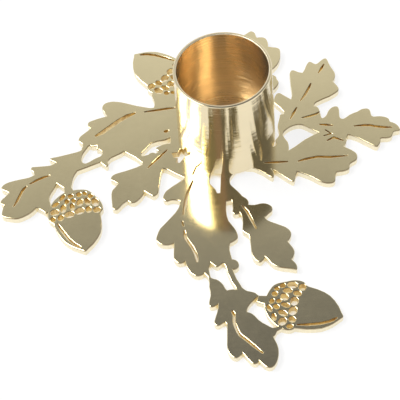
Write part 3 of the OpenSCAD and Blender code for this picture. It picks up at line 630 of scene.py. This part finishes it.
def cup_tree():
    """A closed profile, in X out from the wall's middle line and Y down, swept round a circle."""
    tree = bpy.data.node_groups.new("cup_wall", "GeometryNodeTree")
    face = tree.interface
    face.new_socket("Geometry", in_out="OUTPUT", socket_type="NodeSocketGeometry")
    face.new_socket("Geometry", in_out="INPUT", socket_type="NodeSocketGeometry")
    for name in ("Middle radius", "Bore radius", "Rim height", "Rim round"):
        face.new_socket(name, in_out="INPUT", socket_type="NodeSocketFloat")
    face.new_socket("Sides", in_out="INPUT", socket_type="NodeSocketInt")
    for name in ("Outside", "Inside", "Rim"):
        face.new_socket(name, in_out="INPUT", socket_type="NodeSocketMaterial")

    def add(kind, settings=None, **inputs):
        node = tree.nodes.new(kind)
        for key, setting in (settings or {}).items():
            setattr(node, key, setting)
        for key, given in inputs.items():
            key = key.replace("_", " ")
            numbered = key[0] == "n" and key[1:].isdigit()
            socket = node.inputs[int(key[1:]) if numbered else key]
            if isinstance(given, bpy.types.NodeSocket):
                tree.links.new(given, socket)
            else:
                socket.default_value = given
        return node

    def maths(operation, first, second):
        return add("ShaderNodeMath", {"operation": operation}, n0=first, n1=second).outputs[0]

    def spot():
        position = add("GeometryNodeInputPosition").outputs[0]
        return add("ShaderNodeSeparateXYZ", None, Vector=position).outputs

    given = tree.nodes.new("NodeGroupInput").outputs
    circle = add("GeometryNodeCurvePrimitiveCircle", {"mode": "RADIUS"},
                 Resolution=given["Sides"], Radius=given["Middle radius"])
    profile = add("GeometryNodeMeshToCurve", None, Mesh=given["Geometry"])
    at_rim = maths("LESS_THAN", spot()["Y"], maths("SUBTRACT", given["Rim round"], given["Rim height"]))
    rounded = add("GeometryNodeFilletCurve", None, Curve=profile.outputs["Curve"],
                  Radius=maths("MULTIPLY", at_rim, given["Rim round"]))
    straight_steps(rounded)
    rounded.inputs["Count"].default_value = 4
    swept = add("GeometryNodeCurveToMesh", None, Curve=circle.outputs["Curve"],
                Profile_Curve=rounded.outputs["Curve"])
    real = add("GeometryNodeRealizeInstances", None, Geometry=swept.outputs["Mesh"])
    outside = add("GeometryNodeSetMaterial", None,
                  Geometry=real.outputs["Geometry"], Material=given["Outside"])
    place = spot()
    across = maths("ADD", maths("MULTIPLY", place["X"], place["X"]),
                   maths("MULTIPLY", place["Y"], place["Y"]))
    edge = maths("MULTIPLY", maths("ADD", given["Bore radius"], given["Middle radius"]), 0.5)
    within = maths("LESS_THAN", across, maths("MULTIPLY", edge, edge))
    normal = add("GeometryNodeInputNormal").outputs[0]
    level = add("ShaderNodeSeparateXYZ", None, Vector=normal).outputs["Z"]
    upright = maths("LESS_THAN", maths("ABSOLUTE", level, 0.0), 0.1)
    inside = add("GeometryNodeSetMaterial", None, Geometry=outside.outputs["Geometry"],
                 Selection=maths("MULTIPLY", within, upright), Material=given["Inside"])
    at_top = maths("GREATER_THAN", spot()["Z"], maths("SUBTRACT", given["Rim height"], given["Rim round"]))
    flat = maths("GREATER_THAN", level, 0.97)
    inner = maths("LESS_THAN", across, maths("MULTIPLY", given["Middle radius"], given["Middle radius"]))
    on_rim = maths("MULTIPLY", at_top, maths("MAXIMUM", flat, inner))
    finished = add("GeometryNodeSetMaterial", None, Geometry=inside.outputs["Geometry"],
                   Selection=on_rim, Material=given["Rim"])
    result = tree.nodes.new("NodeGroupOutput")
    tree.links.new(finished.outputs["Geometry"], result.inputs["Geometry"])
    return tree


def straight_steps(node):
    """Sets a Fillet Curve node to straight steps."""
    if "Mode" in node.inputs:
        node.inputs["Mode"].default_value = "Poly"
    else:
        node.mode = "POLY"


class CANDLE_OT_cup_wall(bpy.types.Operator):
    """Sweeps the cup's wall with a rounded rim and gives its two sides their finish"""
    bl_idname = "candle.cup_wall"
    bl_label = "Cup wall"

    def execute(self, context):
        settings = context.scene.candle_cup
        tree = cup_tree()
        seat, foot, rim = DISC_HIGH.z, TUBE_LOW.z, TUBE_HIGH.z
        below = rim - 2.0 * settings.rim_round
        at_foot = (TUBE_HIGH.x - TUBE_LOW.x) / 2.0
        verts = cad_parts["cup_tube"].data.vertices
        at_rim = max(math.hypot(vert.co.x, vert.co.y) for vert in verts
                     if vert.co.z > rim - settings.rim_height)
        outer = at_rim + (at_foot - at_rim) * (rim - below) / (rim - foot)
        groove = (DISC_HIGH.x - DISC_LOW.x) / 2.0
        middle = (at_rim + settings.bore) / 2.0
        corners = [(at_foot, foot), (outer, below), (at_rim, rim), (settings.bore, rim),
                   (settings.bore, below), (settings.bore, seat), (groove, seat), (groove, foot)]
        profile = bpy.data.meshes.new("cup_wall")
        profile.from_pydata([(x - middle, -y, 0.0) for x, y in corners],
                            [(i, (i + 1) % len(corners)) for i in range(len(corners))], [])
        cup = link("cup_wall", profile)
        modifier = cup.modifiers.new("cup_wall", "NODES")
        modifier.node_group = tree
        sizes = {
            "Middle radius": middle,
            "Bore radius": settings.bore,
            "Rim height": rim,
            "Rim round": settings.rim_round,
            "Sides": settings.sides,
            "Outside": cup_outside(settings),
            "Inside": cup_inside(settings),
            "Rim": turned_rim(settings),
        }
        for item in tree.interface.items_tree:
            if item.in_out == "INPUT" and item.name in sizes:
                modifier[item.identifier] = sizes[item.name]
        context.view_layer.update()
        mesh = bpy.data.meshes.new_from_object(
            cup.evaluated_get(context.evaluated_depsgraph_get()))
        cup.modifiers.clear()
        empty = cup.data
        cup.data = mesh
        bpy.data.meshes.remove(empty)
        mesh.name = "cup_wall"
        work = bmesh.new()
        work.from_mesh(mesh)
        bmesh.ops.remove_doubles(work, verts=work.verts, dist=MERGE_DISTANCE)
        bmesh.ops.recalc_face_normals(work, faces=work.faces)
        work.to_mesh(mesh)
        work.free()
        mark_sharp(mesh, CUP_BEND, CUP_BEND)
        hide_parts("cup_tube")
        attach(cup, "root")
        return {"FINISHED"}


class CANDLE_OT_cup_floor(bpy.types.Operator):
    """Gives the cup's floor its turned finish"""
    bl_idname = "candle.cup_floor"
    bl_label = "Cup floor"

    def execute(self, context):
        dress(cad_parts["cup_floor"], turned_disc(context.scene.candle_cup))
        return {"FINISHED"}


class CANDLE_OT_rivet(bpy.types.Operator):
    """Gives the rivet its filed finish"""
    bl_idname = "candle.rivet"
    bl_label = "Rivet"

    def execute(self, context):
        dress(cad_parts["fixing_rivet"], filed_rivet(context.scene.candle_cup))
        return {"FINISHED"}


def dress(node, material):
    """Puts one material on a CAD node."""
    for slot in node.material_slots:
        slot.material = material


class CANDLE_OT_studio(bpy.types.Operator):
    """Sets the floor, the surroundings, the light and the camera"""
    bl_idname = "candle.studio"
    bl_label = "Studio"

    def execute(self, context):
        settings = context.scene.candle_studio
        self.floor(settings)
        self.surroundings(context.scene, settings)
        self.camera(settings)
        context.scene.view_settings.view_transform = "Standard"
        return {"FINISHED"}

    def floor(self, settings):
        """A white table that keeps soft shadows, with a painted gold shade on its glow inside narrow cuts
        in the brass.
        """
        half = settings.floor_size / 2.0
        mesh = bpy.data.meshes.new("floor")
        corners = [(x * half, y * half, -FLOOR_DROP) for x, y in ((-1, -1), (1, -1), (1, 1), (-1, 1))]
        mesh.from_pydata(corners, [], [(0, 1, 2, 3)])
        material, kit = new_material("white_table")
        pale = tone(WHITE[:3], settings.floor_tone)
        lit = kit.node("ShaderNodeBsdfDiffuse", None, {"Color": pale}).outputs[0]
        # Painted shade: where ambient occlusion finds the floor closed in by the sheet, its glow turns from
        # white to the hole colour.
        sky = kit.node("ShaderNodeAmbientOcclusion", {"samples": 8}, {"Distance": settings.hole_reach})
        open_air = kit.value(sky.outputs["AO"]).smooth_step(HOLE_SKY, OPEN_SKY)
        painted_hole_shade = kit.mix(open_air, tone(settings.hole_colour, 1.0), WHITE)
        shade = tone(WHITE[:3], settings.floor_shade)
        low = kit.node("ShaderNodeBsdfDiffuse", None, {"Color": shade}).outputs[0]
        glow = kit.node("ShaderNodeEmission", None, {"Color": painted_hole_shade, "Strength": settings.floor_glow})
        seen = kit.node("ShaderNodeAddShader", None, {0: low, 1: glow.outputs[0]}).outputs[0]
        path = kit.node("ShaderNodeLightPath").outputs
        straight = kit.value(path["Is Camera Ray"]).math("MAXIMUM", kit.value(path["Is Glossy Ray"]))
        straight = straight.math("MAXIMUM", kit.value(path["Is Transmission Ray"]))
        shader = kit.node("ShaderNodeMixShader", None, {0: straight, 1: lit, 2: seen})
        kit.node("ShaderNodeOutputMaterial", None, {"Surface": shader.outputs[0]})
        mesh.materials.append(material)
        link("floor", mesh)

    def surroundings(self, scene, settings):
        """A pale backdrop that darkens upwards, a dim room in front, and a large soft light on the left."""
        world = bpy.data.worlds.new("studio")
        scene.world = world
        world.use_nodes = True
        kit = ShaderKit(world.node_tree)
        way = kit.node("ShaderNodeTexCoord").outputs["Generated"]
        parts = kit.node("ShaderNodeSeparateXYZ", None, {"Vector": way})
        x, y, z = (kit.value(parts.outputs[name]) for name in "XYZ")
        back = kit.node("ShaderNodeValToRGB", {"stops": [
            (0.0, (0.95, 0.95, 0.95, 1.0)),
            (0.60, (0.93, 0.93, 0.93, 1.0)),
            (0.748, (0.74, 0.74, 0.73, 1.0)),
            (0.777, (0.56, 0.55, 0.53, 1.0)),
            (0.804, (0.42, 0.415, 0.40, 1.0)),
            (0.829, (0.31, 0.31, 0.315, 1.0)),
            (0.852, (0.20, 0.205, 0.225, 1.0)),
            (0.875, (0.155, 0.16, 0.185, 1.0)),
        ]}, {"Fac": z}).outputs["Color"]
        front = kit.node("ShaderNodeValToRGB", {"stops": [
            (0.0, (0.95, 0.95, 0.95, 1.0)),
            (0.45, (0.80, 0.80, 0.80, 1.0)),
            (0.70, (0.17, 0.175, 0.20, 1.0)),
            (1.0, (0.145, 0.15, 0.17, 1.0)),
        ]}, {"Fac": z}).outputs["Color"]
        flat = (x * x + y * y + 1e-5).math("SQRT")

        def sector(azimuth, edge, core):
            """1 within an angle on both sides of a level direction, and 0 past a wider one."""
            aim = self.direction(azimuth)
            return ((x * aim.x + y * aim.y) / flat).smooth_step(
                math.cos(math.radians(edge)), math.cos(math.radians(core)))

        rear = (y / flat).smooth_step(0.35, 0.95)
        upright = z.smooth_step(0.66, 0.74) * (1.0 - z.smooth_step(0.90, 0.96))
        olive_span, olive = (-132.0, 16.0, 8.0), (0.24, 0.225, 0.18, 1.0)
        brown_span, brown = (-112.0, 11.0, 6.0), (0.32, 0.245, 0.255, 1.0)
        front = kit.mix(sector(*olive_span) * upright, front, olive)
        front = kit.mix(sector(*brown_span) * upright, front, brown)
        room = kit.mix(rear, front, back)
        key_span, skirt_span, colour_span = (36.8, 28.6), (47.0, 36.0), (38.2, 32.5)
        key = sector(settings.key_azimuth, *key_span) * upright * settings.key_power
        skirt = sector(settings.key_azimuth, *skirt_span) * upright * settings.skirt_power
        warm, plain = (1.0, 0.93, 0.50, 1.0), (1.0, 0.985, 0.95, 1.0)
        colour = kit.mix(sector(settings.key_azimuth, *colour_span), warm, plain)
        lamp = kit.node("ShaderNodeBackground", None, {"Color": colour, "Strength": key + skirt})
        walls = kit.node("ShaderNodeBackground", None, {"Color": room, "Strength": 1.0})
        both = kit.node("ShaderNodeAddShader", None, {0: walls.outputs[0], 1: lamp.outputs[0]}).outputs[0]
        white = kit.node("ShaderNodeBackground", None, {"Color": WHITE, "Strength": 1.0}).outputs[0]
        camera = kit.node("ShaderNodeLightPath").outputs["Is Camera Ray"]
        shown = kit.node("ShaderNodeMixShader", None, {0: camera, 1: both, 2: white})
        kit.node("ShaderNodeOutputWorld", None, {"Surface": shown.outputs[0]})

    @staticmethod
    def direction(azimuth):
        return Vector((math.cos(math.radians(azimuth)), math.sin(math.radians(azimuth)), 0.0))

    def camera(self, settings):
        ahead = Vector((0.0, math.cos(settings.camera_pitch), -math.sin(settings.camera_pitch)))
        right = Vector((1.0, 0.0, 0.0))
        above = right.cross(ahead)
        turn = Matrix.Rotation(settings.camera_roll, 3, -ahead)
        right, above = turn @ right, turn @ above
        data = bpy.data.cameras.new("camera")
        data.sensor_width = 36.0
        data.lens = settings.lens
        data.clip_start = 0.01
        data.clip_end = 20.0
        camera = link("camera", data)
        axes = Matrix((right, above, -ahead)).transposed().to_4x4()
        camera.matrix_world = Matrix.Translation(Vector(settings.camera_place)) @ axes
        bpy.context.scene.camera = camera


class CANDLE_PT_sidebar(bpy.types.Panel):
    """Lists the candle holder's pieces and their settings"""
    bl_idname = "CANDLE_PT_sidebar"
    bl_label = "Candle holder"
    bl_space_type = "VIEW_3D"
    bl_region_type = "UI"
    bl_category = "Candle holder"

    def draw(self, context):
        for group, operators in GROUPS.items():
            box = self.layout.box()
            settings = getattr(context.scene, group)
            for name in settings.__annotations__:
                box.prop(settings, name)
            for operator in operators:
                box.operator(operator.bl_idname)


GROUPS = {
    "candle_sheet": (CANDLE_OT_leaf_sheet,),
    "candle_cup": (CANDLE_OT_cup_wall, CANDLE_OT_cup_floor, CANDLE_OT_rivet),
    "candle_studio": (CANDLE_OT_studio,),
}
SETTINGS = {
    "candle_sheet": SheetSettings,
    "candle_cup": CupSettings,
    "candle_studio": StudioSettings,
}
CLASSES = tuple(SETTINGS.values()) + tuple(
    operator for operators in GROUPS.values() for operator in operators) + (CANDLE_PT_sidebar,)


def register():
    for kind in CLASSES:
        bpy.utils.register_class(kind)
    for name, kind in SETTINGS.items():
        setattr(bpy.types.Scene, name, PointerProperty(type=kind))


def unregister():
    for name in SETTINGS:
        delattr(bpy.types.Scene, name)
    for kind in reversed(CLASSES):
        bpy.utils.unregister_class(kind)


def main():
    register()
    bpy.ops.candle.studio()
    bpy.ops.candle.leaf_sheet()
    bpy.ops.candle.cup_wall()
    bpy.ops.candle.cup_floor()
    bpy.ops.candle.rivet()


if __name__ == "__main__":
    main()
